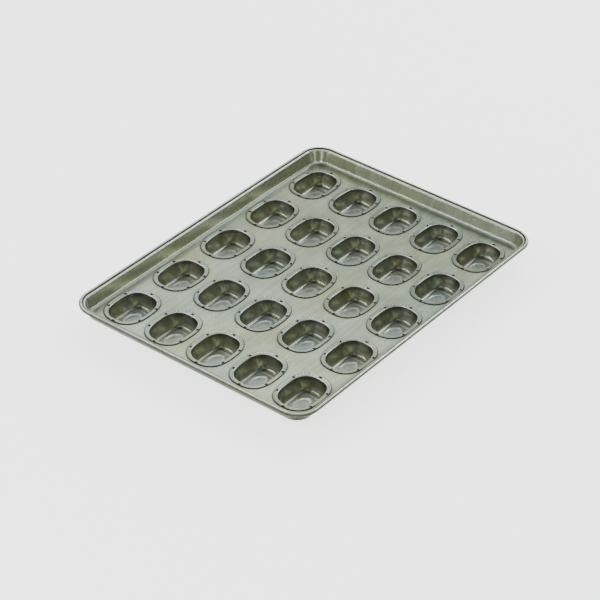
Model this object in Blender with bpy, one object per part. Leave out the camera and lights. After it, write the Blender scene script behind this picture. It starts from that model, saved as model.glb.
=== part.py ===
"""Baking tray with a grid of oval cups, modelled the way it is made.

One drawn steel sheet forms the floor, a raised kick round the floor, the sloping wall and
a rim that is rolled round a wire. Each cup is its own pressing. It drops through a hole in
the floor until its flange lies on the sheet.

Lengths are in millimetres and turn into metres where points become vertices. X is the
tray's length and Z is up. The origin is under the middle of the tray, level with the
undersides of the cups.
"""

import math

import bmesh
import bpy

MM = 0.001

# Tray sheet
TRAY_LENGTH = 530.0
TRAY_WIDTH = 380.0
RIM_HEIGHT = 20.5
FLOOR_CORNER_RADIUS = 17.0
SHEET_THICKNESS = 0.6
WALL_DRAFT = math.radians(17.6)
KICK_WIDTH = 2.2
KICK_ANGLE = math.radians(41.0)
FLOOR_BEND_RADIUS = 1.5
KICK_BEND_RADIUS = 1.5

# Rolled rim
WIRE_DIAMETER = 3.4
RIDGE_RADIUS = 1.8
RIM_FLAT = 0.6
GROOVE_RADIUS = 1.2
GROOVE_TURN = math.radians(60.0)
CURL_SWEEP = math.radians(300.0)

# Cups
CUP_COLUMNS = 5
CUP_ROWS = 5
END_MARGIN = 12.5
SIDE_MARGIN = 5.25
MOUTH_LENGTH = 68.0
MOUTH_WIDTH = 48.5
MOUTH_SQUARENESS = 2.66
CUP_DEPTH = 21.0
CUP_DRAFT = math.radians(21.5)
CUP_THICKNESS = 0.5
CUP_BOTTOM_RADIUS = 3.0
BOTTOM_SQUARENESS = 4.5
CUP_LIP_RADIUS = 1.5
FLANGE_WIDTH = 5.5

# Clearances between pieces that touch on the real tray
FIT_GAP = 0.3
HOLE_CLEARANCE = 0.4

# Facets
CORNER_STEPS = 6
OVAL_POINTS = 20
WIRE_SIDES = 8
CURL_STEPS = 10
RIDGE_STEPS = 3
GROOVE_STEPS = 2
FLOOR_BEND_STEPS = 2
SMOOTH_BELOW = math.radians(50.0)


def run(length):
    """A straight stretch of a bent strip."""
    return ("run", length, 0.0, 1)


def bend(turn, radius, steps=1):
    """An arc of a bent strip: turn is positive where the strip bends up."""
    return ("bend", turn, radius, steps)


def trace(section, offset=0.0):
    """Points (out, up) along a bent strip, at a height above its middle line."""
    out, up, heading = 0.0, 0.0, 0.0
    points = [(out, up + offset)]
    for kind, amount, radius, steps in section:
        for _ in range(steps):
            if kind == "run":
                chord, turn = amount, 0.0
            else:
                turn = amount / steps
                chord = 2.0 * radius * math.sin(abs(turn) / 2.0)
            out += chord * math.cos(heading + turn / 2.0)
            up += chord * math.sin(heading + turn / 2.0)
            heading += turn
            points.append((out - offset * math.sin(heading), up + offset * math.cos(heading)))
    return points


def bend_setback(turn, radius):
    """Length from the start of an arc to the corner that it rounds off."""
    return radius * math.tan(abs(turn) / 2.0)


def rise(section):
    """Height that a strip gains from its start to its end."""
    return trace(section)[-1][1]


# The strip through floor, kick, wall and rim, on the middle line of the sheet
WALL_ANGLE = math.pi / 2.0 - WALL_DRAFT
BEAD_RADIUS = WIRE_DIAMETER / 2.0 + FIT_GAP + SHEET_THICKNESS / 2.0
BEAD_OUTER_RADIUS = BEAD_RADIUS + SHEET_THICKNESS / 2.0
KICK_RUN = (
    KICK_WIDTH / math.cos(KICK_ANGLE)
    - bend_setback(KICK_ANGLE, FLOOR_BEND_RADIUS)
    - bend_setback(WALL_ANGLE - KICK_ANGLE, KICK_BEND_RADIUS)
)
KICK = [
    bend(KICK_ANGLE, FLOOR_BEND_RADIUS, FLOOR_BEND_STEPS),
    run(KICK_RUN),
    bend(WALL_ANGLE - KICK_ANGLE, KICK_BEND_RADIUS),
]
RIM = [
    bend(-WALL_ANGLE, RIDGE_RADIUS, RIDGE_STEPS),
    run(RIM_FLAT),
    bend(GROOVE_TURN, GROOVE_RADIUS, GROOVE_STEPS),
]
CURL = [bend(-CURL_SWEEP, BEAD_RADIUS, CURL_STEPS)]

# Height from the top of the wall to the top of the bead
RIM_RISE = (
    RIDGE_RADIUS * (1.0 - math.cos(WALL_ANGLE))
    + GROOVE_RADIUS * (1.0 - math.cos(GROOVE_TURN))
    + BEAD_OUTER_RADIUS
    - BEAD_RADIUS * math.cos(GROOVE_TURN)
)
WALL_RISE = RIM_HEIGHT + SHEET_THICKNESS / 2.0 - rise(KICK) - RIM_RISE
WALL = [run(WALL_RISE / math.sin(WALL_ANGLE))]
SHEET_SECTION = KICK + WALL + RIM + CURL
CURL_START = trace(KICK + WALL + RIM)[-1]
WIRE_OUT = CURL_START[0] + BEAD_RADIUS * math.sin(GROOVE_TURN)
WIRE_UP = CURL_START[1] - BEAD_RADIUS * math.cos(GROOVE_TURN)
REACH = WIRE_OUT + BEAD_OUTER_RADIUS

FLOOR_HALF_LENGTH = TRAY_LENGTH / 2.0 - REACH
FLOOR_HALF_WIDTH = TRAY_WIDTH / 2.0 - REACH

# The strip through a cup's bottom, wall, lip and flange
CUP_WALL_ANGLE = math.pi / 2.0 - CUP_DRAFT
BOTTOM_SETBACK = bend_setback(CUP_WALL_ANGLE, CUP_BOTTOM_RADIUS)
LIP_SETBACK = bend_setback(CUP_WALL_ANGLE, CUP_LIP_RADIUS)
CUP_SECTION = [
    bend(CUP_WALL_ANGLE, CUP_BOTTOM_RADIUS + CUP_THICKNESS / 2.0),
    run(CUP_DEPTH / math.cos(CUP_DRAFT) - BOTTOM_SETBACK - LIP_SETBACK),
    bend(-CUP_WALL_ANGLE, CUP_LIP_RADIUS - CUP_THICKNESS / 2.0),
    run(FLANGE_WIDTH - LIP_SETBACK),
]
MOUTH_OUT = BOTTOM_SETBACK + CUP_DEPTH * math.tan(CUP_DRAFT)

# The floor lies under the flanges, and its holes clear the cups' walls
FLOOR_TOP = CUP_DEPTH - FIT_GAP
SHEET_MIDDLE = FLOOR_TOP - SHEET_THICKNESS / 2.0
HOLE_GROWTH = LIP_SETBACK + HOLE_CLEARANCE
COLUMN_REACH = FLOOR_HALF_LENGTH - END_MARGIN - FLANGE_WIDTH - MOUTH_LENGTH / 2.0
ROW_REACH = FLOOR_HALF_WIDTH - SIDE_MARGIN - FLANGE_WIDTH - MOUTH_WIDTH / 2.0


def clear_scene():
    for old in list(bpy.data.objects):
        bpy.data.objects.remove(old, do_unlink=True)


def steel(name, colour, roughness):
    """A metal with the given colour."""
    material = bpy.data.materials.new(name)
    material.use_nodes = True
    shader = material.node_tree.nodes["Principled BSDF"]
    shader.inputs["Base Color"].default_value = (*colour, 1.0)
    shader.inputs["Metallic"].default_value = 1.0
    shader.inputs["Roughness"].default_value = roughness
    return material


def spread(count, reach):
    """Evenly spaced places from -reach to +reach, or the middle for a single one."""
    if count == 1:
        return [0.0]
    return [-reach + 2.0 * reach * index / (count - 1) for index in range(count)]


def cup_centres():
    """Name and place of each cup, row by row from -Y and along +X."""
    centres = []
    for row, y in enumerate(spread(CUP_ROWS, ROW_REACH), start=1):
        for column, x in enumerate(spread(CUP_COLUMNS, COLUMN_REACH), start=1):
            centres.append((f"cup_r{row}_c{column}", x, y))
    return centres


def tray_outline(out):
    """The floor's rounded outline, grown outwards."""
    corner_x = FLOOR_HALF_LENGTH - FLOOR_CORNER_RADIUS
    corner_y = FLOOR_HALF_WIDTH - FLOOR_CORNER_RADIUS
    radius = FLOOR_CORNER_RADIUS + out
    points = []
    for quarter, (side_x, side_y) in enumerate([(1, 1), (-1, 1), (-1, -1), (1, -1)]):
        for step in range(CORNER_STEPS + 1):
            angle = (quarter + step / CORNER_STEPS) * math.pi / 2.0
            x = side_x * corner_x + radius * math.cos(angle)
            y = side_y * corner_y + radius * math.sin(angle)
            points.append((x, y))
    return points


def signed_power(value, exponent):
    return math.copysign(abs(value) ** exponent, value)


def oval_outline(inset=0.0, offset=0.0):
    """A superellipse: the mouth's less an inset, squarer with it, then moved out along its normals."""
    depth_share = inset / MOUTH_OUT
    squareness = MOUTH_SQUARENESS + (BOTTOM_SQUARENESS - MOUTH_SQUARENESS) * depth_share
    half_length, half_width = MOUTH_LENGTH / 2.0 - inset, MOUTH_WIDTH / 2.0 - inset
    points = []
    for index in range(OVAL_POINTS):
        angle = 2.0 * math.pi * index / OVAL_POINTS
        along = signed_power(round(math.cos(angle), 12), 2.0 / squareness)
        across = signed_power(round(math.sin(angle), 12), 2.0 / squareness)
        normal_x = signed_power(along, squareness - 1.0) / half_length
        normal_y = signed_power(across, squareness - 1.0) / half_width
        size = math.hypot(normal_x, normal_y)
        x = half_length * along + offset * normal_x / size
        y = half_width * across + offset * normal_y / size
        points.append((x, y))
    return points


def add_ring(bm, outline, z, centre=(0.0, 0.0)):
    """Vertices of one closed outline at a height."""
    ring = []
    for x, y in outline:
        ring.append(bm.verts.new(((x + centre[0]) * MM, (y + centre[1]) * MM, z * MM)))
    return ring


def bridge(bm, first, second):
    """A band of faces between two rings of as many vertices."""
    count = len(first)
    for here in range(count):
        there = (here + 1) % count
        bm.faces.new((first[here], first[there], second[there], second[here]))


def loft(bm, rings):
    for first, second in zip(rings, rings[1:]):
        bridge(bm, first, second)


def ring_edges(bm, ring):
    edges = []
    for here, there in zip(ring, ring[1:] + ring[:1]):
        edges.append(bm.edges.get((here, there)) or bm.edges.new((here, there)))
    return edges


def fill_floor(bm, outline, holes):
    """A flat face inside the outline, left open at the holes."""
    edges = ring_edges(bm, outline)
    for hole in holes:
        edges += ring_edges(bm, hole)
    bmesh.ops.triangle_fill(bm, use_beauty=True, edges=edges, normal=(0.0, 0.0, 1.0))


def to_mesh(bm, name, material):
    """A closed mesh with its faces pointing out and its round parts smooth."""
    bmesh.ops.recalc_face_normals(bm, faces=bm.faces[:])
    mesh = bpy.data.meshes.new(name)
    bm.to_mesh(mesh)
    bm.free()
    mesh.materials.append(material)
    mesh.shade_smooth()
    mesh.set_sharp_from_angle(angle=SMOOTH_BELOW)
    return mesh


def place(name, mesh, parent, location=(0.0, 0.0, 0.0)):
    piece = bpy.data.objects.new(name, mesh)
    bpy.context.scene.collection.objects.link(piece)
    piece.parent = parent
    piece.location = [value * MM for value in location]
    return piece


def sheet_mesh(material):
    """Floor with its holes, kick, wall and rolled rim in one closed skin."""
    bm = bmesh.new()
    half = SHEET_THICKNESS / 2.0
    upper = [add_ring(bm, tray_outline(out), up) for out, up in trace(SHEET_SECTION, half)]
    under = [add_ring(bm, tray_outline(out), up) for out, up in trace(SHEET_SECTION, -half)]
    loft(bm, upper + under[::-1])

    hole = oval_outline(offset=HOLE_GROWTH)
    centres = [(x, y) for _, x, y in cup_centres()]
    upper_holes = [add_ring(bm, hole, half, centre) for centre in centres]
    under_holes = [add_ring(bm, hole, -half, centre) for centre in centres]
    for top, bottom in zip(upper_holes, under_holes):
        bridge(bm, top, bottom)
    fill_floor(bm, upper[0], upper_holes)
    fill_floor(bm, under[0], under_holes)
    return to_mesh(bm, "tray_sheet", material)


def wire_mesh(material):
    """A round wire that follows the rim inside its curl."""
    bm = bmesh.new()
    radius = WIRE_DIAMETER / 2.0
    rings = []
    for side in range(WIRE_SIDES):
        angle = 2.0 * math.pi * side / WIRE_SIDES
        outline = tray_outline(WIRE_OUT + radius * math.cos(angle))
        rings.append(add_ring(bm, outline, WIRE_UP + radius * math.sin(angle)))
    loft(bm, rings + rings[:1])
    return to_mesh(bm, "rim_wire", material)


def cup_mesh(material):
    """One pressing: flat squarish bottom, sloping wall, rounded oval lip and flat flange."""
    bm = bmesh.new()
    half = CUP_THICKNESS / 2.0
    sides = []
    for side in (half, -half):
        rings = []
        for (middle, _), (out, up) in zip(trace(CUP_SECTION), trace(CUP_SECTION, side)):
            inset = max(0.0, MOUTH_OUT - middle)
            rings.append(add_ring(bm, oval_outline(inset, out - MOUTH_OUT + inset), up + half))
        sides.append(rings)
    inner, outer = sides
    loft(bm, inner + outer[::-1])
    bm.faces.new(inner[0])
    bm.faces.new(outer[0])
    return to_mesh(bm, "cup", material)


def build_tray():
    tray = bpy.data.objects.new("tray", None)
    bpy.context.scene.collection.objects.link(tray)
    sheet_steel = steel("sheet_steel", (0.42, 0.43, 0.38), 0.35)
    cup_steel = steel("cup_steel", (0.38, 0.40, 0.35), 0.28)
    wire_steel = steel("wire_steel", (0.50, 0.50, 0.48), 0.30)

    place("tray_sheet", sheet_mesh(sheet_steel), tray, (0.0, 0.0, SHEET_MIDDLE))
    place("rim_wire", wire_mesh(wire_steel), tray, (0.0, 0.0, SHEET_MIDDLE))
    cup = cup_mesh(cup_steel)
    for name, x, y in cup_centres():
        place(name, cup, tray, (x, y, 0.0))


clear_scene()
build_tray()
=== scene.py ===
"""The looks of a steel baking tray with oval cups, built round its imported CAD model.

The tray is one drawn sheet with a rim rolled round a wire. The cups are pressings whose
flanges lie on the sheet and are clinched to it. Sizes are millimetres up to the last step
of each mesh, which turns them into metres. X is the tray's length and Z is up.
"""

import math

import bmesh
import bpy
import numpy as np
from mathutils import Matrix, Vector, geometry


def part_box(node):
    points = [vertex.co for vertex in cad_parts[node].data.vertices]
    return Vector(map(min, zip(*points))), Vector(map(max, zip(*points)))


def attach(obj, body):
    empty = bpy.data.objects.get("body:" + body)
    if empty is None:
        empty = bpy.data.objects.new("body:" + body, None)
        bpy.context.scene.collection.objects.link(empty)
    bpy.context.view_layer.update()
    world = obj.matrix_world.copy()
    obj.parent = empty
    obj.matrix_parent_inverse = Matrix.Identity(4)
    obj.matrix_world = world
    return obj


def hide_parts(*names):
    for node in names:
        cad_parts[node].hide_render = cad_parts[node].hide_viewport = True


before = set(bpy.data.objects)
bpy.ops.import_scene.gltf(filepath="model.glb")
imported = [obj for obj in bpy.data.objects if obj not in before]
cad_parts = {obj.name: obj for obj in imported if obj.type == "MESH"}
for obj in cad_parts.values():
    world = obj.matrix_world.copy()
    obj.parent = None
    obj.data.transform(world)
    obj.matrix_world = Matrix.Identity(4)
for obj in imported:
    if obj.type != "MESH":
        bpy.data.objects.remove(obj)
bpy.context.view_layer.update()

MM = 0.001

# Tray sheet
SHEET_THICKNESS = 0.6
FLOOR_CORNER_RADIUS = 17.0
WALL_DRAFT = math.radians(17.6)
KICK_WIDTH = 2.2
KICK_ANGLE = math.radians(41.0)
FLOOR_BEND_RADIUS = 1.5
KICK_BEND_RADIUS = 1.5
WIRE_DIAMETER = 3.4
WIRE_GAP = 0.3
RIDGE_RADIUS = 1.8
RIM_FLAT = 0.6
GROOVE_RADIUS = 1.2
GROOVE_TURN = math.radians(60.0)
CURL_SWEEP = math.radians(300.0)

# Cups
MOUTH_LENGTH = 68.0
MOUTH_WIDTH = 48.5
MOUTH_SQUARENESS = 2.66
CUP_DRAFT = math.radians(21.5)
CUP_THICKNESS = 0.5
CUP_BOTTOM_RADIUS = 3.0
BOTTOM_SQUARENESS = 4.5
CUP_LIP_RADIUS = 1.5
FLANGE_WIDTH = 5.5
HOLE_CLEARANCE = 0.4

# A cup's two ends have a larger rounding. They start and are full where its normals lean this much
# towards X, and its long sides where they lean this much towards Y
END_RADIUS = 9.0
END_LEAN = (0.3, 0.95)
SIDE_LEAN = (0.8, 0.98)

# The bottoms' shallow dish: its depth, parted into an even slope and a step, the half lengths of the
# ellipse that its outline turns into, and where it turns and steps, as shares of the bottom that are
# negative because the rings run inwards
BOWL_DEPTH = 0.5
BOWL_SLOPE = 0.3
BOWL_STEP = 0.7
DISH_ROUND = np.array([26.0, 15.5])
DISH_TURN = (-0.9, -0.6)
DISH_STEP = (-0.76, -0.50)

# Clinch marks: six a cup, at the ends of its long axis and in pairs on its long sides. Their slope
# lies between two shares of their half size, and the sheet is pressed a little wider than the flange
CLINCH_SIDE_OFFSET = 15.8
CLINCH_SIDE_REACH = 3.3
CLINCH_END_REACH = 4.0
CLINCH_LENGTH = 3.0
CLINCH_WIDTH = 3.6
CLINCH_DEPTH = 0.9
CLINCH_EASE = (0.55, 1.1)
CLINCH_FLOOR_MARGIN = 0.35

# Draw marks: fine radial ripples in the outer part of each flange, which come and go round it and
# are shifted from cup to cup
RIPPLE_PITCH = 3.8
RIPPLE_HEIGHT = 0.09
RIPPLE_START = 3.0
RIPPLE_MEAN = 0.65
RIPPLE_CHANGE = 0.35
RIPPLE_GROUPS = 3.0
PHASE_STEP = 1.7

# Each flange turns up a little at its edge
EDGE_START = 3.9
EDGE_LIFT = 0.1

# The floor isn't quite flat: it rises and falls by this much, and the cups go with it
FLOOR_SWELL = 0.3

# Marks for the materials, each 0 to 1 at every point of a mesh. The first paints grime together with
# painted shade, the second rubbed steel together with painted highlights
MARKS = ("grime_and_shade", "wear_and_highlight", "patina", "film")

# The sheet's grime and painted shade: grease and painted shade on the floor along the foot of the rim,
# painted shade low on the bead's outer side, on the hidden side and more so at the tray's corners, and
# round the flanges, and a darkening round the holes from below
RIM_DIRT_AND_SHADE = 0.4
RIM_DIRT_AND_SHADE_MARGIN = 2.0
BEAD_SHADE = 0.9
HIDDEN_SHADE = 0.75
HIDDEN_CORNER_SHADE = 0.25
FLANGE_SHADE_WIDTH = 1.4
HOLE_DARKENING = 0.5
HOLE_DARKENING_WIDTH = 1.5

# The sheet's film: on the rim's inner wall and on the hidden side
WALL_FILM = 0.5
HIDDEN_FILM = 0.6

# The cups' painted shade: in the corner towards +X and +Y, at the foot of the two ends, under the lip and
# more so at its ends, along the bottom's long sides, in the clinch marks together with grime, at the lip
# towards -Y, on the hidden side, and at the ends of the bottom
CORNER_SHADE = 0.85
END_SHADE = 0.6
LIP_SHADE = 0.8
LIP_END_SHADE = 0.2
FILLET_EDGE_SHADE = 0.7
CLINCH_GRIME_AND_SHADE = 2.0
CLINCH_GRIME_AND_SHADE_MARGIN = 0.3
NEAR_LIP_SHADE = 0.9
CUP_HIDDEN_SHADE = 0.5
BOTTOM_END_SHADE = 0.35

# The cups' rubbed steel together with painted highlights: on the lip, and low on the wall, higher up at the
# two ends
LIP_WEAR_AND_HIGHLIGHT = 0.75
WALL_WEAR_AND_HIGHLIGHT = 0.5
WALL_WEAR_AND_HIGHLIGHT_LIFT = 4.0

# The cups' film: at the foot of the wall, how much less just above it, how much more again high up,
# and on the bottom
LOW_FILM = 0.8
WALL_FILM_DROP = 0.35
HIGH_FILM = 0.1
BOTTOM_FILM = 0.9

# Each steel's light tone, dark tone and roughness
STEELS = {
    "sheet_steel": ((0.312, 0.358, 0.275), (0.272, 0.316, 0.23), 0.24),
    "cup_steel": ((0.258, 0.292, 0.245), (0.23, 0.262, 0.215), 0.15),
    "wire_steel": ((0.40, 0.40, 0.38), (0.32, 0.32, 0.29), 0.30),
}

# Baking has left the inside of the cups darker than the sheet, by this share of the steel's own colour
PATINA = (0.98, 0.98, 0.90, 1.0)

# A dull film on top of that: thin on walls and hidden sides, thick and paler on the cups' bottoms, where
# its pale bluish tone is also a painted reflection of bluish light
FILM_THIN = (0.155, 0.165, 0.085, 1.0)
FILM_THICK_AND_SHEEN = (0.25, 0.305, 0.30, 1.0)

# Heat has tinted the cups in soft upright streaks, and all of the tray in large faint clouds
TINT_BROWN = (0.88, 0.80, 0.70, 1.0)
TINT_BLUE = (1.06, 1.08, 1.10, 1.0)
HAZE_WARM = (1.03, 1.0, 0.93, 1.0)
HAZE_COOL = (0.95, 1.0, 1.08, 1.0)

# Rubbed steel, also used for painted highlights, and how far it covers, grime, also used for painted
# shade, and how much duller it is, and the scratches' bump, whose depth is in metres
RUBBED_STEEL_AND_HIGHLIGHT = (0.70, 0.71, 0.66, 1.0)
RUBBED_COVER = 0.8
GRIME_AND_SHADE_COLOUR = (0.016, 0.016, 0.012, 1.0)
GRIME_DULLNESS = 0.3
SCRATCH_STRENGTH = 0.05
SCRATCH_DEPTH = 0.0004
NOISE_ROUGHNESS = 0.55

# Fineness of the meshes, in points, millimetres or shares: low in the cups and round the holes from
# above, only every second point of an oval is used
OVAL_POINTS = 240
COARSE = 2
CORNER_STEPS = 28
SIDE_SPACING = 12.0
FLOOR_GRID = 7.0
GRID_MARGIN = 2.0
TOP_GROWTHS = (2.2, 3.4, 4.6, 5.35, 5.75, 6.4, 7.6)
UNDER_GROWTHS = (2.0, 2.8, 3.6, 4.4, 5.2, 7.6)
BOTTOM_SHARES = (0.95, 0.90, 0.84, 0.78, 0.72, 0.66, 0.60, 0.54, 0.46, 0.2)
WIRE_SIDES = 20
CURVE_POINTS = 40001
SEARCH_STRIDE = 4
PLACE_TOLERANCE = 1e-6
EDGE_SLACK = 0.05
SHARP_EDGE = math.radians(38.0)

# Camera, fitted to the cup centres and the rim lines of the photograph
CAMERA_PLACE = (-1.9908, -1.4285, 1.7256)
CAMERA_LOOK = (0.66087, 0.47866, -0.57804)
CAMERA_ROLL = math.radians(2.685)
CAMERA_LENS = 134.44
CAMERA_SENSOR = 36.0

# Studio: soft boxes all round at one distance, in metres, the pale wall's direction in degrees,
# and the room's tones by how near a direction is to that wall's
BOX_DISTANCE = 3.2
WALL_AZIMUTH = 52.0
WALL_ELEVATION = 46.0
ROOM_GLOW = 3.1
ROOM_TONES = (
    (0.00, (0.10, 0.10, 0.10)),
    (0.80, (0.16, 0.16, 0.15)),
    (0.94, (0.30, 0.30, 0.28)),
    (1.00, (1.00, 1.00, 0.97)),
)
STAGE_REACH = 14.0
STAGE_TONE = (0.93, 0.93, 0.93, 1.0)
STAGE_ROUGHNESS = 0.9
STAGE_GLOW = 2.0

# Each light's name, azimuth, elevation, width and height in degrees, glow, colour, and lean in degrees
LIGHTS = (
    ("lamp", 9.0, 46.0, 16.0, 8.0, 13.0, (0.88, 1.0, 1.08), 0.0),
    ("low_window", 6.0, 11.0, 48.0, 18.0, 4.5, (1.0, 1.0, 0.97), 0.0),
    ("high_window", 43.0, 49.0, 18.0, 6.0, 5.0, (1.0, 1.0, 1.0), 0.0),
    ("box_right", -24.0, 44.0, 34.0, 10.0, 1.5, (0.78, 0.96, 1.18), 0.0),
    ("box_side", -46.0, 22.0, 18.0, 28.0, 4.0, (1.0, 1.0, 0.86), 0.0),
    ("box_left", 108.0, 27.0, 26.0, 16.0, 3.0, (1.0, 1.0, 0.98), 0.0),
    ("box_back", 151.0, 12.0, 26.0, 10.0, 2.5, (1.0, 1.0, 0.92), 0.0),
    ("box_crown", 104.0, 60.0, 34.0, 9.0, 0.6, (0.95, 1.0, 1.05), 0.0),
    ("tube", 148.0, 27.0, 7.0, 54.0, 9.0, (1.0, 1.0, 1.0), 44.0),
    ("box_front", 192.0, 42.0, 34.0, 13.0, 6.0, (1.0, 1.0, 1.0), 0.0),
    ("strip_front", 207.0, 7.0, 7.0, 14.0, 9.0, (1.0, 1.0, 1.0), 0.0),
    ("strip_side", 258.0, 7.0, 7.0, 14.0, 9.0, (1.0, 1.0, 1.0), 0.0),
    ("box_top", 258.0, 62.0, 50.0, 16.0, 2.0, (0.95, 1.0, 1.05), 0.0),
)


def run(length, steps):
    """A straight stretch of a bent strip."""
    return ("run", length, 0.0, steps)


def bend(turn, radius, steps):
    """An arc of a bent strip: turn is positive where the strip bends up."""
    return ("bend", turn, radius, steps)


def trace(section, offset=0.0):
    """Points (out, up) along a bent strip, at a height above its middle line."""
    out, up, heading = 0.0, 0.0, 0.0
    points = [(out, up + offset)]
    for kind, amount, radius, steps in section:
        for _ in range(steps):
            if kind == "run":
                chord, turn = amount / steps, 0.0
            else:
                turn = amount / steps
                chord = 2.0 * radius * math.sin(abs(turn) / 2.0)
            out += chord * math.cos(heading + turn / 2.0)
            up += chord * math.sin(heading + turn / 2.0)
            heading += turn
            points.append((out - offset * math.sin(heading), up + offset * math.cos(heading)))
    return points


def bend_setback(turn, radius):
    """Length from the start of an arc to the corner that it rounds off."""
    return radius * math.tan(abs(turn) / 2.0)


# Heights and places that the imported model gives
SHEET_LOW, SHEET_HIGH = (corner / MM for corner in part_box("tray_sheet"))
CUP_LOW, CUP_HIGH = (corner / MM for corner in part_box("cup_r1_c1"))
SHEET_MIDDLE = SHEET_LOW.z + SHEET_THICKNESS / 2.0
FLOOR_LEVEL = SHEET_LOW.z + SHEET_THICKNESS
RIM_HEIGHT = SHEET_HIGH.z - SHEET_LOW.z
RIM_TOP = SHEET_HIGH.z
CUP_DEPTH = CUP_HIGH.z - CUP_LOW.z - CUP_THICKNESS
CUP_BASE = CUP_HIGH.z - CUP_DEPTH - CUP_THICKNESS

# The strip through floor, kick, wall and rolled rim
WALL_ANGLE = math.pi / 2.0 - WALL_DRAFT
BEAD_RADIUS = WIRE_DIAMETER / 2.0 + WIRE_GAP + SHEET_THICKNESS / 2.0
BEAD_OUTER_RADIUS = BEAD_RADIUS + SHEET_THICKNESS / 2.0
KICK_RUN = (
    KICK_WIDTH / math.cos(KICK_ANGLE)
    - bend_setback(KICK_ANGLE, FLOOR_BEND_RADIUS)
    - bend_setback(WALL_ANGLE - KICK_ANGLE, KICK_BEND_RADIUS)
)
KICK = [
    bend(KICK_ANGLE, FLOOR_BEND_RADIUS, steps=6),
    run(KICK_RUN, steps=2),
    bend(WALL_ANGLE - KICK_ANGLE, KICK_BEND_RADIUS, steps=5),
]
RIM = [
    bend(-WALL_ANGLE, RIDGE_RADIUS, steps=10),
    run(RIM_FLAT, steps=1),
    bend(GROOVE_TURN, GROOVE_RADIUS, steps=7),
]
CURL = [bend(-CURL_SWEEP, BEAD_RADIUS, steps=30)]
COARSE_CURL = [bend(-CURL_SWEEP, BEAD_RADIUS, steps=12)]
RIM_RISE = (
    RIDGE_RADIUS * (1.0 - math.cos(WALL_ANGLE))
    + GROOVE_RADIUS * (1.0 - math.cos(GROOVE_TURN))
    + BEAD_OUTER_RADIUS
    - BEAD_RADIUS * math.cos(GROOVE_TURN)
)
WALL_RISE = RIM_HEIGHT - SHEET_THICKNESS / 2.0 - trace(KICK)[-1][1] - RIM_RISE
WALL = [run(WALL_RISE / math.sin(WALL_ANGLE), steps=6)]
SHEET_TOP = KICK + WALL + RIM + CURL
SHEET_UNDER = KICK + WALL + RIM + COARSE_CURL
WALL_TOP = trace(KICK + WALL)[-1][1]
GROOVE = trace(KICK + WALL + RIM[:2])[-1]
CURL_START = trace(KICK + WALL + RIM)[-1]
WIRE_OUT = CURL_START[0] + BEAD_RADIUS * math.sin(GROOVE_TURN)
WIRE_UP = CURL_START[1] - BEAD_RADIUS * math.cos(GROOVE_TURN)
REACH = WIRE_OUT + BEAD_OUTER_RADIUS
FLOOR_HALF = np.array((SHEET_HIGH.x - SHEET_LOW.x, SHEET_HIGH.y - SHEET_LOW.y)) / 2.0 - REACH

# Lines along the rim that are painted shade, and lines that are rubbed steel and painted highlights:
# the place in its section, the mark's strength, and its width in millimetres
KICK_LINES = trace(KICK, SHEET_THICKNESS / 2.0)
LOWER_BEND, KICK_MIDDLE, UPPER_BEND = (KICK_LINES[index] for index in (3, 7, 11))
UNDER_RIDGE = (GROOVE[0] - 2.2 * RIDGE_RADIUS, GROOVE[1] - 1.3)
RIDGE_TOP = (GROOVE[0] - RIDGE_RADIUS, GROOVE[1] + 0.3)
GROOVE_BED = (GROOVE[0] + 1.1, GROOVE[1] + 0.6)
BEAD_TOP = (WIRE_OUT, WIRE_UP + BEAD_OUTER_RADIUS)
RIM_SHADE_LINES = ((KICK_MIDDLE, 0.6, 0.6), (UNDER_RIDGE, 0.9, 1.0), (GROOVE_BED, 1.3, 1.4))
RIM_WEAR_AND_HIGHLIGHT = (
    (LOWER_BEND, 0.8, 0.7),
    (UPPER_BEND, 0.8, 0.8),
    (RIDGE_TOP, 1.0, 1.1),
    (BEAD_TOP, 1.0, 1.4),
)

# The strip through a cup's bottom, wall, lip and flange
CUP_WALL_ANGLE = math.pi / 2.0 - CUP_DRAFT
BOTTOM_SETBACK = bend_setback(CUP_WALL_ANGLE, CUP_BOTTOM_RADIUS)
LIP_SETBACK = bend_setback(CUP_WALL_ANGLE, CUP_LIP_RADIUS)
CUP_SHELL = [
    bend(CUP_WALL_ANGLE, CUP_BOTTOM_RADIUS + CUP_THICKNESS / 2.0, steps=9),
    run(CUP_DEPTH / math.cos(CUP_DRAFT) - BOTTOM_SETBACK - LIP_SETBACK, steps=7),
]
CUP_TOP = CUP_SHELL + [
    bend(-CUP_WALL_ANGLE, CUP_LIP_RADIUS - CUP_THICKNESS / 2.0, steps=7),
    run(FLANGE_WIDTH - LIP_SETBACK, steps=11),
]
CUP_UNDER = CUP_SHELL + [
    bend(-CUP_WALL_ANGLE, CUP_LIP_RADIUS - CUP_THICKNESS / 2.0, steps=3),
    run(FLANGE_WIDTH - LIP_SETBACK, steps=6),
]
COARSE_RINGS = sum(steps for _, _, _, steps in CUP_SHELL)
MOUTH_OUT = BOTTOM_SETBACK + CUP_DEPTH * math.tan(CUP_DRAFT)
HOLE_GROWTH = LIP_SETBACK + HOLE_CLEARANCE


def smooth(value, low, high):
    """0 below low, 1 above high, with an eased step between."""
    share = np.clip((value - low) / (high - low), 0.0, 1.0)
    return share * share * (3.0 - 2.0 * share)


def hump(value, middle, width):
    """1 at the middle, less further from it."""
    return np.exp(-(((value - middle) / width) ** 2))


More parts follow.
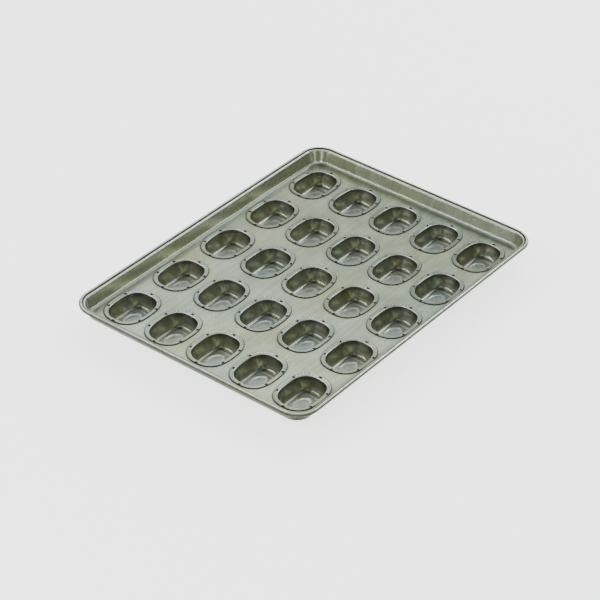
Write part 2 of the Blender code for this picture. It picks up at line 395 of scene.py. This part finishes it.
def swell(places):
    """Lifts points with the floor's three crossing waves, less the further they are from its level."""
    x, y, z = places.T
    wave = (
        0.45 * np.sin(x / 21.0 + 0.7) * np.cos(y / 26.0 - 0.4)
        + 0.35 * np.sin((x + y) / 15.0 + 1.9)
        + 0.20 * np.sin((x - 1.3 * y) / 9.5 + 4.1)
    )
    below = np.clip(z / FLOOR_LEVEL, 0.0, 1.0)
    above = np.clip((RIM_TOP - z) / (RIM_TOP - FLOOR_LEVEL), 0.0, 1.0)
    lifted = places.copy()
    lifted[:, 2] += FLOOR_SWELL * wave * below * above
    return lifted


def fillet_height(inward, radius):
    """Height of the rounding between a cup's bottom and wall, inward from the corner that it rounds."""
    start = bend_setback(CUP_WALL_ANGLE, radius) - np.asarray(inward, dtype=float)
    along = np.clip(start, 0.0, radius * math.sin(CUP_WALL_ANGLE))
    arc = radius - np.sqrt(radius ** 2 - along ** 2)
    return arc + np.maximum(start - along, 0.0) * math.tan(CUP_WALL_ANGLE)


def end_rise(inward, normals):
    """How much higher the larger rounding at a cup's two ends lies than the one at its long sides."""
    ends = smooth(np.abs(normals[:, 0]), *END_LEAN)
    return ends * (fillet_height(inward, END_RADIUS) - fillet_height(inward, CUP_BOTTOM_RADIUS))


def cup_nodes():
    """Names of the cups' nodes, in order."""
    return sorted(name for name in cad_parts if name.startswith("cup_"))


def cup_centre(node):
    """Middle of a cup, seen from above."""
    low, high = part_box(node)
    middle = (low + high) / 2.0 / MM
    return np.array((middle.x, middle.y))


def tray_outline(out):
    """The floor's rounded outline, grown outwards."""
    corner = FLOOR_HALF - FLOOR_CORNER_RADIUS
    radius = FLOOR_CORNER_RADIUS + out
    points = []
    for quarter, (side_x, side_y) in enumerate([(1, 1), (-1, 1), (-1, -1), (1, -1)]):
        for step in range(CORNER_STEPS + 1):
            angle = (quarter + step / CORNER_STEPS) * math.pi / 2.0
            x = side_x * corner[0] + radius * math.cos(angle)
            y = side_y * corner[1] + radius * math.sin(angle)
            points.append((x, y))
        length = 2.0 * corner[quarter % 2]
        count = int(length / SIDE_SPACING)
        along = (-math.sin(angle), math.cos(angle))
        for step in range(1, count):
            shift = length * step / count
            points.append((x + along[0] * shift, y + along[1] * shift))
    return np.array(points)


def oval_base():
    """The mouth's outline and its normals, the points evenly spaced along it, and its length."""
    half = np.array([MOUTH_LENGTH / 2.0, MOUTH_WIDTH / 2.0])
    angle = np.linspace(0.0, 2.0 * math.pi, CURVE_POINTS)
    unit = np.stack([np.cos(angle), np.sin(angle)], axis=1)
    curve = half * np.sign(unit) * np.abs(unit) ** (2.0 / MOUTH_SQUARENESS)
    distance = np.concatenate([[0.0], np.cumsum(np.hypot(*np.diff(curve, axis=0).T))])
    even = np.linspace(0.0, distance[-1], OVAL_POINTS, endpoint=False)
    points = np.stack([np.interp(even, distance, curve[:, axis]) for axis in (0, 1)], axis=1)
    share = points / half
    normals = np.sign(share) * np.abs(share) ** (MOUTH_SQUARENESS - 1.0) / half
    normals /= np.linalg.norm(normals, axis=1)[:, None]
    return points, normals, distance[-1]


OVAL_PLACES, OVAL_NORMALS, OVAL_LENGTH = oval_base()


def oval_outline(inset, offset, stride):
    """The mouth's outline less an inset, squarer with it, then moved out along its normals."""
    half = np.array([MOUTH_LENGTH / 2.0, MOUTH_WIDTH / 2.0])
    squareness = MOUTH_SQUARENESS + (BOTTOM_SQUARENESS - MOUTH_SQUARENESS) * inset / MOUTH_OUT
    share = OVAL_PLACES[::stride] / half
    share = np.sign(share) * np.abs(share) ** (MOUTH_SQUARENESS / squareness)
    normals = np.sign(share) * np.abs(share) ** (squareness - 1.0) / (half - inset)
    normals /= np.linalg.norm(normals, axis=1)[:, None]
    return (half - inset) * share + offset * normals


def clinch_places():
    """Centre and outward direction of each clinch mark of one cup."""
    places = []
    for side_x, side_y in ((1, 0), (-1, 0), (1, 1), (-1, 1), (-1, -1), (1, -1)):
        if side_y:
            off = np.abs(OVAL_PLACES[:, 0] - side_x * CLINCH_SIDE_OFFSET)
            off[OVAL_PLACES[:, 1] * side_y < 0.0] = MOUTH_LENGTH
            reach = CLINCH_SIDE_REACH
        else:
            off = np.abs(OVAL_PLACES[:, 1])
            off[OVAL_PLACES[:, 0] * side_x < 0.0] = MOUTH_LENGTH
            reach = CLINCH_END_REACH
        nearest = int(np.argmin(off))
        outward = OVAL_NORMALS[nearest]
        places.append((OVAL_PLACES[nearest] + reach * outward, outward))
    return places


CLINCHES = clinch_places()


def clinch_press(points, margin=0.0):
    """How far each point, seen from its cup's centre, is pressed down by the clinch marks."""
    pressed = np.zeros(len(points))
    for place, outward in CLINCHES:
        along = (points - place) @ outward
        across = (points - place) @ np.array([-outward[1], outward[0]])
        near_long = np.abs(along) / (CLINCH_LENGTH / 2.0 + margin)
        near_wide = np.abs(across) / (CLINCH_WIDTH / 2.0 + margin)
        reach = (near_long ** 3 + near_wide ** 3) ** (1.0 / 3.0)
        pressed = np.maximum(pressed, 1.0 - smooth(reach, *CLINCH_EASE))
    return pressed


class Skin:
    """Rings of vertices, the faces between them, and each vertex's marks for the materials."""

    def __init__(self):
        self.places = []
        self.marks = []
        self.faces = []
        self.count = 0

    def add(self, outline, heights, grime_and_shade=0.0, wear_and_highlight=0.0, patina=0.0, film=0.0):
        """Adds points at the given heights and returns their numbers."""
        number = len(outline)
        block = np.empty((number, 3))
        block[:, :2] = outline
        block[:, 2] = heights
        marks = np.empty((number, len(MARKS)))
        for column, mark in enumerate((grime_and_shade, wear_and_highlight, patina, film)):
            marks[:, column] = mark
        self.places.append(block)
        self.marks.append(marks)
        self.count += number
        return np.arange(self.count - number, self.count)

    def bridge(self, lower, upper):
        """Joins two closed rings. One may have a whole number of times the other's points."""
        if len(lower) > len(upper):
            lower, upper = upper, lower
        stride = len(upper) // len(lower)
        columns = [np.roll(lower, -1), lower]
        for step in range(stride + 1):
            columns.append(np.roll(upper, -step)[::stride])
        self.faces += np.stack(columns, axis=1).tolist()

    def loft(self, rings):
        """Joins each closed ring to the next."""
        for lower, upper in zip(rings, rings[1:]):
            self.bridge(lower, upper)


def to_object(name, skin):
    """One mesh object, in metres, with its faces turned out."""
    places = swell(np.concatenate(skin.places)) * MM
    mesh = bpy.data.meshes.new(name)
    mesh.from_pydata(places.tolist(), [], skin.faces)
    bm = bmesh.new()
    bm.from_mesh(mesh)
    bmesh.ops.recalc_face_normals(bm, faces=bm.faces[:])
    bm.to_mesh(mesh)
    bm.free()
    mesh.shade_smooth()
    mesh.set_sharp_from_angle(angle=SHARP_EDGE)
    marks = np.concatenate(skin.marks).clip(0.0, 1.0).astype(np.float32)
    for column, title in enumerate(MARKS):
        attribute = mesh.attributes.new(title, "FLOAT", "POINT")
        attribute.data.foreach_set("value", np.ascontiguousarray(marks[:, column]))
    piece = bpy.data.objects.new(name, mesh)
    bpy.context.scene.collection.objects.link(piece)
    return piece


def hole_distance(points, centres):
    """Distance of each point outside the mouth of the cup nearest to it, roughly, or infinity."""
    nearest = np.full(len(points), math.inf)
    for centre in centres:
        local = points - centre
        close = np.flatnonzero(np.hypot(*local.T) < MOUTH_LENGTH)
        if not len(close):
            continue
        apart = local[close, None, :] - OVAL_PLACES[None, ::SEARCH_STRIDE, :]
        index = np.argmin((apart ** 2).sum(axis=2), axis=1)
        growth = (apart[np.arange(len(close)), index] * OVAL_NORMALS[::SEARCH_STRIDE][index]).sum(axis=1)
        nearest[close] = np.minimum(nearest[close], growth)
    return nearest


def past_straight(places):
    """How far points lie past the centre of the nearest corner's arc, along X and along Y, or 0."""
    return np.maximum(np.abs(places) - (FLOOR_HALF - FLOOR_CORNER_RADIUS), 0.0)


def corner_share(places):
    """0 along the tray's straight sides and 1 round the middle of its corners."""
    past = past_straight(places)
    slant = past.min(axis=1) / np.maximum(past.max(axis=1), 1.0)
    return smooth(slant, 0.1, 0.7)


def rim_dirt_and_shade(places):
    """Grease that baking leaves on the floor along the foot of the rim, and painted shade there."""
    past = np.hypot(*past_straight(places).T)
    return RIM_DIRT_AND_SHADE * smooth(past, RIM_DIRT_AND_SHADE_MARGIN, FLOOR_CORNER_RADIUS - RIM_DIRT_AND_SHADE_MARGIN)


def floor_grid(centres, edge_growth):
    """Points inside the floor, clear of its outline and of the cups' patches."""
    columns, rows = (np.arange(-half + FLOOR_GRID / 2.0, half, FLOOR_GRID) for half in FLOOR_HALF)
    grid = np.array([(x, y) for x in columns for y in rows])
    grid = grid[np.hypot(*past_straight(grid).T) < FLOOR_CORNER_RADIUS - GRID_MARGIN]
    return grid[hole_distance(grid, centres) > edge_growth + GRID_MARGIN]


def fill_floor(skin, outline_ring, patch_rings, height, centres):
    """Triangles between the floor's outline and the outermost rings round the cups."""
    edge_growth = TOP_GROWTHS[-1]
    rings = [outline_ring] + patch_rings
    known = np.concatenate(rings)
    places = np.concatenate(skin.places)[known][:, :2]
    grid = floor_grid(centres, edge_growth)
    numbers = np.concatenate([known, skin.add(grid, height, rim_dirt_and_shade(grid))])
    points = np.concatenate([places, grid])
    edges = []
    start = 0
    for ring in rings:
        loop = list(range(start, start + len(ring)))
        edges += list(zip(loop, loop[1:] + loop[:1]))
        start += len(ring)
    vectors = [Vector(point) for point in points]
    result = geometry.delaunay_2d_cdt(vectors, edges, [], 0, PLACE_TOLERANCE)
    triangles = np.array(result[2])
    middles = points[triangles].mean(axis=1)
    keep = hole_distance(middles, centres) > edge_growth - EDGE_SLACK
    skin.faces += numbers[triangles[keep]].tolist()


def floor_patch(skin, centre, side, growths, stride):
    """Rings round one cup's hole, pressed down under the clinch marks."""
    rings = []
    for growth in (HOLE_GROWTH, *growths):
        outline = oval_outline(0.0, growth, stride)
        pressed = clinch_press(outline, CLINCH_FLOOR_MARGIN)
        if side > 0.0:
            # Painted shade round the flange's edge, and grease with painted shade along the rim
            grime_and_shade = hump(max(growth, FLANGE_WIDTH), FLANGE_WIDTH, FLANGE_SHADE_WIDTH)
            grime_and_shade = grime_and_shade + rim_dirt_and_shade(outline + centre)
        else:
            # A darkening round the hole from below
            grime_and_shade = HOLE_DARKENING * hump(growth, HOLE_GROWTH, HOLE_DARKENING_WIDTH)
        rings.append(skin.add(outline + centre, SHEET_MIDDLE + side - CLINCH_DEPTH * pressed, grime_and_shade))
    skin.loft(rings)
    return rings


def line_mark(out, up, line):
    """Strength of one of the rim's lines, of painted shade or of rubbed steel and painted highlight, at a
    place of its section.
    """
    place, strength, width = line
    return strength * hump(math.dist((out, up), place), 0.0, width)


def rim_marks(out, up):
    """Grease and painted shade, rubbed steel and painted highlights, and film at a place on the upper side of
    the rim's section.
    """
    grime_and_shade = RIM_DIRT_AND_SHADE * hump(out, 0.0, 1.0) + sum(line_mark(out, up, line) for line in RIM_SHADE_LINES)
    if out > WIRE_OUT:
        # Painted shade low on the bead's outer side
        grime_and_shade += BEAD_SHADE * smooth(BEAD_TOP[1] - up, 0.3, 1.1)
    wear_and_highlight = max(line_mark(out, up, line) for line in RIM_WEAR_AND_HIGHLIGHT)
    film = WALL_FILM * smooth(up, 2.0, 4.0) * (1.0 - smooth(up, WALL_TOP - 1.5, WALL_TOP))
    return grime_and_shade, wear_and_highlight, film


def make_sheet(centres):
    """Floor with its holes, kick, wall and rolled rim."""
    skin = Skin()
    half = SHEET_THICKNESS / 2.0
    sides = []
    for side, section in ((half, SHEET_TOP), (-half, SHEET_UNDER)):
        rings = []
        for out, up in trace(section, side):
            outline = tray_outline(out)
            if side > 0.0:
                grime_and_shade, wear_and_highlight, film = rim_marks(out, up)
            else:
                # Painted shade on the hidden side, more at the tray's corners
                grime_and_shade = HIDDEN_SHADE + HIDDEN_CORNER_SHADE * corner_share(outline)
                wear_and_highlight, film = 0.0, HIDDEN_FILM
            rings.append(skin.add(outline, SHEET_MIDDLE + up, grime_and_shade, wear_and_highlight, film=film))
        sides.append(rings)
    skin.loft(sides[0] + sides[1][::-1])

    patches = []
    for side, growths, stride in ((half, TOP_GROWTHS, COARSE), (-half, UNDER_GROWTHS, 1)):
        patches.append([floor_patch(skin, centre, side, growths, stride) for centre in centres])
    for top, under in zip(*patches):
        skin.bridge(top[0], under[0])
    for rings, side, patch in zip(sides, (half, -half), patches):
        outermost = [around[-1] for around in patch]
        fill_floor(skin, rings[0], outermost, SHEET_MIDDLE + side, centres)
    return to_object("sheet_skin", skin)


def make_wire():
    """The wire inside the rim's curl."""
    skin = Skin()
    radius = WIRE_DIAMETER / 2.0
    rings = []
    for side in range(WIRE_SIDES):
        angle = 2.0 * math.pi * side / WIRE_SIDES
        height = SHEET_MIDDLE + WIRE_UP + radius * math.sin(angle)
        rings.append(skin.add(tray_outline(WIRE_OUT + radius * math.cos(angle)), height))
    skin.loft(rings + rings[:1])
    return to_object("wire_skin", skin)


def draw_marks(phase):
    """Height of the draw marks round a flange, as a share of full, and how strong they are there."""
    around = 2.0 * math.pi * (np.arange(OVAL_POINTS) / OVAL_POINTS)
    ripple = np.cos(around * round(OVAL_LENGTH / RIPPLE_PITCH) + phase)
    strength = RIPPLE_MEAN + RIPPLE_CHANGE * np.sin(around * RIPPLE_GROUPS + 2.0 * phase)
    return ripple, strength


def inner_shade(index, up, growth, normals):
    """Painted shade on the inside of a cup's wall and lip."""
    across_x, across_y = np.abs(normals).T
    corner = smooth(normals[:, 0], 0.12, 0.45) * smooth(normals[:, 1], -0.1, 0.2)
    ends = smooth(across_x, 0.3, 0.9)
    grime_and_shade = CORNER_SHADE * corner * hump(up, 2.0, 2.2) + END_SHADE * ends * hump(up, 0.0, 0.8)
    grime_and_shade += (LIP_SHADE + LIP_END_SHADE * ends) * hump(growth, -0.5, 1.4 + ends)
    return grime_and_shade + FILLET_EDGE_SHADE * hump(index, 0.0, 0.8) * smooth(across_y, *SIDE_LEAN)


def inner_wear_and_highlight(up, growth, normals):
    """Rubbed steel and painted highlights on the inside of a cup's wall and on its lip."""
    lip = hump(growth, 0.3, 0.9) * (1.0 - smooth(normals[:, 1], 0.2, 0.8))
    lifted = WALL_WEAR_AND_HIGHLIGHT_LIFT * smooth(np.abs(normals[:, 0]), *END_LEAN)
    corner = smooth(normals[:, 0], 0.3, 0.7) * smooth(normals[:, 1], 0.05, 0.35)
    wall = (1.0 - corner) * hump(up - lifted, 2.6, 2.2) * smooth(-growth, 1.0, 2.0)
    return LIP_WEAR_AND_HIGHLIGHT * lip + WALL_WEAR_AND_HIGHLIGHT * wall


def fill_bottom(skin, centre, inner):
    """The bottom from the ring at its rounding inwards, with a shallow dish that gets rounder."""
    rim = np.concatenate(skin.places)[inner]
    normals = OVAL_NORMALS[::COARSE]
    level = rim[:, 2] - end_rise(BOTTOM_SETBACK, normals)
    turn = np.arctan2(OVAL_PLACES[::COARSE, 1] / MOUTH_WIDTH, OVAL_PLACES[::COARSE, 0] / MOUTH_LENGTH)
    dish = np.stack([np.cos(turn), np.sin(turn)], axis=1)
    across_x, across_y = np.abs(normals).T
    ends = smooth(across_x, 0.25, 0.8)
    for share in BOTTOM_SHARES:
        outline = centre + (rim[:, :2] - centre) * share
        outline += smooth(-share, *DISH_TURN) * (centre + share * DISH_ROUND * dish - outline)
        inward = BOTTOM_SETBACK + np.hypot(*(rim[:, :2] - outline).T)
        drop = BOWL_DEPTH * (BOWL_SLOPE * (1.0 - share) + BOWL_STEP * smooth(-share, *DISH_STEP))
        height = level - drop + end_rise(inward, normals)

        # The dish's edge keeps less film, and its inner line gets a painted highlight in the colour of rubbed
        # steel
        edge = hump(share, 0.63, 0.10)
        wear_and_highlight = hump(share, 0.54, 0.06) * (0.2 + 0.8 * ends)
        # Painted shade at the ends of the bottom and along its long sides
        outer_ends = ends * smooth(share, 0.84, 0.96)
        fillet_edge = hump(share, 0.96, 0.04) * smooth(across_y, *SIDE_LEAN)
        grime_and_shade = BOTTOM_END_SHADE * outer_ends + FILLET_EDGE_SHADE * fillet_edge
        film = BOTTOM_FILM - 0.2 * edge - 0.2 * outer_ends
        ring = skin.add(outline, height, grime_and_shade, wear_and_highlight, 1.0 - 0.4 * edge, film)
        skin.bridge(ring, inner)
        inner = ring
    skin.faces.append(inner.tolist())


def make_cup(node, phase):
    """One pressing: bottom, sloping wall, rounded lip, and flange with draw and clinch marks."""
    skin = Skin()
    half = CUP_THICKNESS / 2.0
    centre = cup_centre(node)
    ripple, strength = draw_marks(phase)
    sides = []
    for side, section in ((half, CUP_TOP), (-half, CUP_UNDER)):
        rings = []
        for index, ((middle, _), (out, up)) in enumerate(zip(trace(section), trace(section, side))):
            growth = out - MOUTH_OUT
            stride = COARSE if index < COARSE_RINGS else 1
            normals = OVAL_NORMALS[::stride]
            inset = max(0.0, MOUTH_OUT - middle)
            outline = oval_outline(inset, growth + inset, stride)
            height = CUP_BASE + half + up + BOWL_DEPTH * max(0.0, 1.0 - up / (CUP_DEPTH / 2.0))
            if growth < -LIP_SETBACK:
                height = height + end_rise(BOTTOM_SETBACK - middle, normals)
            grime_and_shade, wear_and_highlight = 0.0, 0.0
            if growth > LIP_SETBACK:
                outer = smooth(growth, RIPPLE_START, FLANGE_WIDTH)
                height = height - CLINCH_DEPTH * clinch_press(outline)
                height = height + RIPPLE_HEIGHT * outer * ripple * strength
                height = height + EDGE_LIFT * smooth(growth, EDGE_START, FLANGE_WIDTH)
                # Grime and painted shade in the clinch marks, painted shade in the ripples' troughs and at
                # the flange's edge
                grime_and_shade = CLINCH_GRIME_AND_SHADE * clinch_press(outline, CLINCH_GRIME_AND_SHADE_MARGIN)
                grime_and_shade += outer * smooth(-ripple, 0.4, 1.0) * strength
                grime_and_shade += smooth(growth, FLANGE_WIDTH - 0.4, FLANGE_WIDTH)
            elif growth < 0.0 and side > 0.0:
                grime_and_shade = inner_shade(index, up, growth, normals)
            if side > 0.0:
                wear_and_highlight = inner_wear_and_highlight(up, growth, normals)
                # Painted shade on the lip towards -Y
                grime_and_shade = grime_and_shade + NEAR_LIP_SHADE * hump(growth, 0.1, 0.8) * smooth(-normals[:, 1], 0.2, 0.8)
            else:
                # Painted shade on the hidden side, full under the flange
                hidden = CUP_HIDDEN_SHADE + (1.0 - CUP_HIDDEN_SHADE) * smooth(growth, 0.5, 1.5)
                grime_and_shade = np.maximum(grime_and_shade, hidden)
            patina = 1.0 - smooth(growth, -0.6, 0.5)
            film = LOW_FILM - WALL_FILM_DROP * smooth(up - side, 0.0, 0.04) + HIGH_FILM * smooth(up, 3.0, 9.0)
            rings.append(skin.add(outline + centre, height, grime_and_shade, wear_and_highlight, patina, patina * film))
        sides.append(rings)
    skin.loft(sides[0] + sides[1][::-1])
    for rings in sides:
        fill_bottom(skin, centre, rings[0])
    return to_object(node.replace("cup", "cup_skin"), skin)


class Nodes:
    """A short way to write a material's nodes."""

    def __init__(self, name):
        self.material = bpy.data.materials.new(name)
        self.material.use_nodes = True
        self.tree = self.material.node_tree
        self.shader = self.tree.nodes["Principled BSDF"]

    def add(self, kind, inputs=None, **settings):
        """A new node with its settings and its inputs, which are links or values."""
        node = self.tree.nodes.new(kind)
        for key, value in settings.items():
            setattr(node, key, value)
        for key, value in (inputs or {}).items():
            self.set(node.inputs[key], value)
        return node

    def set(self, socket, value):
        """Links a socket to another one, or gives it a value."""
        if isinstance(value, bpy.types.NodeSocket):
            self.tree.links.new(value, socket)
        else:
            socket.default_value = value

    def noise(self, scale, detail, stretch=(1.0, 1.0, 1.0), turn=0.0, shift=0.0):
        """Noise in the object's own places, about 0.3 to 0.7: finer along an axis the larger its stretch."""
        place = self.add("ShaderNodeTexCoord").outputs["Object"]
        moves = {"Scale": stretch, "Rotation": (0.0, 0.0, turn), "Location": (shift, shift, 0.0)}
        moved = self.add("ShaderNodeMapping", {"Vector": place, **moves})
        settings = {"Scale": scale, "Detail": detail, "Roughness": NOISE_ROUGHNESS}
        noise = self.add("ShaderNodeTexNoise", {"Vector": moved.outputs["Vector"], **settings})
        return noise.outputs["Fac"]

    def mark(self, name):
        """One of the meshes' marks."""
        return self.add("ShaderNodeAttribute", attribute_name=name).outputs["Fac"]

    def span(self, value, low, high, to_low=0.0, to_high=1.0):
        """Maps low..high to to_low..to_high, held at the ends."""
        node = self.add(
            "ShaderNodeMapRange",
            {"Value": value, "From Min": low, "From Max": high, "To Min": to_low, "To Max": to_high},
        )
        return node.outputs["Result"]

    def maths(self, operation, first, second):
        """One arithmetic step."""
        node = self.add("ShaderNodeMath", operation=operation)
        self.set(node.inputs[0], first)
        self.set(node.inputs[1], second)
        return node.outputs["Value"]

    def mix(self, factor, first, second, blend="MIX"):
        """The first colour with the second mixed or multiplied in by the factor."""
        node = self.add("ShaderNodeMix", data_type="RGBA", blend_type=blend)
        self.set(node.inputs[0], factor)
        self.set(node.inputs[6], first)
        self.set(node.inputs[7], second)
        return node.outputs[2]


def worn_steel(name, light, dark, roughness):
    """Seasoned tinned steel: its own tone, film and heat tint, then rubbed edges with painted highlights and
    grime with painted shade on top.
    """
    nodes = Nodes(name)

    # Blotches, rolling streaks along X and fine grain
    blotch = nodes.span(nodes.noise(16.0, detail=4.0), 0.36, 0.64)
    tone = nodes.mix(blotch, (*light, 1.0), (*dark, 1.0))
    streak = nodes.noise(260.0, detail=3.0, stretch=(0.05, 1.0, 0.05))
    tone = nodes.mix(1.0, tone, nodes.span(streak, 0.36, 0.64, 0.90, 1.08), "MULTIPLY")
    grain = nodes.noise(1500.0, detail=2.0)
    tone = nodes.mix(1.0, tone, nodes.span(grain, 0.3, 0.7, 0.90, 1.09), "MULTIPLY")

    # What baking has left
    tone = nodes.mix(nodes.mark("patina"), tone, PATINA, "MULTIPLY")
    cover = nodes.span(nodes.noise(120.0, detail=4.0, shift=5.0), 0.3, 0.7, 0.64, 0.80)
    film = nodes.maths("MULTIPLY", nodes.mark("film"), cover)
    # The thick film's pale bluish tone is partly a painted reflection
    thick = nodes.span(nodes.mark("film"), 0.6, 0.85)
    tone = nodes.mix(film, tone, nodes.mix(thick, FILM_THIN, FILM_THICK_AND_SHEEN))
    upright = nodes.span(nodes.noise(110.0, detail=3.0, stretch=(1.0, 1.0, 0.08), shift=2.0), 0.38, 0.62)
    tinted = nodes.mix(1.0, tone, nodes.mix(upright, TINT_BROWN, TINT_BLUE), "MULTIPLY")
    tone = nodes.mix(nodes.span(nodes.mark("patina"), 0.0, 0.3, 0.1, 1.0), tone, tinted)
    cloud = nodes.span(nodes.noise(9.0, detail=2.0, shift=7.0), 0.40, 0.60)
    tone = nodes.mix(1.0, tone, nodes.mix(cloud, HAZE_WARM, HAZE_COOL), "MULTIPLY")

    # Rubbed edges and painted highlights, then grime and painted shade
    rubbed_and_highlight_noise = nodes.span(nodes.noise(300.0, detail=3.0), 0.3, 0.6, 0.4, 1.0)
    wear_and_highlight = nodes.maths("MULTIPLY", nodes.mark("wear_and_highlight"), rubbed_and_highlight_noise)
    tone = nodes.mix(nodes.maths("MULTIPLY", wear_and_highlight, RUBBED_COVER), tone, RUBBED_STEEL_AND_HIGHLIGHT)
    grime_and_shade_noise = nodes.span(nodes.noise(400.0, detail=3.0), 0.3, 0.6, 0.85, 1.0)
    grime_and_shade = nodes.maths("MULTIPLY", nodes.mark("grime_and_shade"), grime_and_shade_noise)
    tone = nodes.mix(grime_and_shade, tone, GRIME_AND_SHADE_COLOUR)

    # Grime and painted shade are duller and film isn't metal; fine scratches lie aslant
    patchy = nodes.noise(70.0, detail=4.0, shift=3.0)
    gloss = nodes.span(patchy, 0.35, 0.65, roughness - 0.03, roughness + 0.04)
    gloss = nodes.maths("ADD", gloss, nodes.maths("MULTIPLY", grime_and_shade, GRIME_DULLNESS))
    scratch = nodes.noise(700.0, detail=3.0, stretch=(0.04, 1.0, 0.3), turn=0.4)
    relief = {"Height": scratch, "Strength": SCRATCH_STRENGTH, "Distance": SCRATCH_DEPTH}
    bump = nodes.add("ShaderNodeBump", relief)
    nodes.set(nodes.shader.inputs["Base Color"], tone)
    nodes.set(nodes.shader.inputs["Roughness"], gloss)
    nodes.set(nodes.shader.inputs["Normal"], bump.outputs["Normal"])
    nodes.set(nodes.shader.inputs["Metallic"], nodes.maths("SUBTRACT", 1.0, film))
    return nodes.material


def make_stage():
    """The pale floor that the tray stands on, which glows a little, like a light table."""
    reach = STAGE_REACH
    corners = [(-reach, -reach, 0.0), (reach, -reach, 0.0), (reach, reach, 0.0), (-reach, reach, 0.0)]
    mesh = bpy.data.meshes.new("stage_floor")
    mesh.from_pydata(corners, [], [(0, 1, 2, 3)])
    floor = bpy.data.objects.new("stage_floor", mesh)
    bpy.context.scene.collection.objects.link(floor)
    nodes = Nodes("stage_paper")
    nodes.shader.inputs["Base Color"].default_value = STAGE_TONE
    nodes.shader.inputs["Roughness"].default_value = STAGE_ROUGHNESS
    nodes.shader.inputs["Emission Color"].default_value = (1.0, 1.0, 1.0, 1.0)
    nodes.shader.inputs["Emission Strength"].default_value = STAGE_GLOW
    mesh.materials.append(nodes.material)


def direction(azimuth, elevation):
    """A unit vector towards a place on the sky given in degrees."""
    turn, lift = math.radians(azimuth), math.radians(elevation)
    return Vector((math.cos(lift) * math.cos(turn), math.cos(lift) * math.sin(turn), math.sin(lift)))


def make_light(name, azimuth, elevation, wide, high, glow, colour, lean):
    """A soft box that faces the tray. Its place, size and lean are degrees as the tray sees them."""
    size_x, size_y = (2.0 * BOX_DISTANCE * math.tan(math.radians(angle) / 2.0) for angle in (wide, high))
    data = bpy.data.lights.new(name, "AREA")
    data.shape = "RECTANGLE"
    data.size, data.size_y = size_x, size_y
    data.energy = glow * math.pi * size_x * size_y
    data.color = colour
    light = bpy.data.objects.new(name, data)
    bpy.context.scene.collection.objects.link(light)
    towards = direction(azimuth, elevation)
    light.location = BOX_DISTANCE * towards
    turned = (-towards).to_track_quat("-Z", "Y").to_matrix() @ Matrix.Rotation(math.radians(lean), 3, "Z")
    light.rotation_euler = turned.to_euler()


def make_world():
    """A dim room with one pale wall, the one that the tray's floor mirrors."""
    world = bpy.data.worlds.new("studio")
    bpy.context.scene.world = world
    world.use_nodes = True
    tree = world.node_tree
    place = tree.nodes.new("ShaderNodeTexCoord")
    nearness = tree.nodes.new("ShaderNodeVectorMath")
    nearness.operation = "DOT_PRODUCT"
    nearness.inputs[1].default_value = direction(WALL_AZIMUTH, WALL_ELEVATION)
    ramp = tree.nodes.new("ShaderNodeValToRGB")
    tree.links.new(place.outputs["Generated"], nearness.inputs[0])
    tree.links.new(nearness.outputs["Value"], ramp.inputs["Fac"])
    tree.links.new(ramp.outputs["Color"], tree.nodes["Background"].inputs["Color"])
    tree.nodes["Background"].inputs["Strength"].default_value = ROOM_GLOW
    stops = ramp.color_ramp.elements  # a new ramp has two of them
    for index, (position, colour) in enumerate(ROOM_TONES):
        stop = stops[index] if index < 2 else stops.new(position)
        stop.position = position
        stop.color = (*colour, 1.0)


def make_camera():
    """The camera at the photograph's viewing angle."""
    data = bpy.data.cameras.new("camera")
    data.lens = CAMERA_LENS
    data.sensor_width = CAMERA_SENSOR
    camera = bpy.data.objects.new("camera", data)
    bpy.context.scene.collection.objects.link(camera)
    aim = Vector(CAMERA_LOOK).to_track_quat("-Z", "Y").to_matrix().to_4x4()
    camera.matrix_world = Matrix.Translation(CAMERA_PLACE) @ aim @ Matrix.Rotation(CAMERA_ROLL, 4, "Z")
    bpy.context.scene.camera = camera


def settle(piece, node, material):
    """Puts a piece in the place of its CAD node."""
    piece.data.materials.append(material)
    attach(piece, "root")
    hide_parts(node)


make_camera()
steels = {slot: worn_steel(slot, *look) for slot, look in STEELS.items()}
sheet = make_sheet([cup_centre(node) for node in cup_nodes()])
settle(sheet, "tray_sheet", steels["sheet_steel"])
settle(make_wire(), "rim_wire", steels["wire_steel"])
for number, node in enumerate(cup_nodes()):
    settle(make_cup(node, PHASE_STEP * number), node, steels["cup_steel"])

make_stage()
make_world()
for light in LIGHTS:
    make_light(*light)
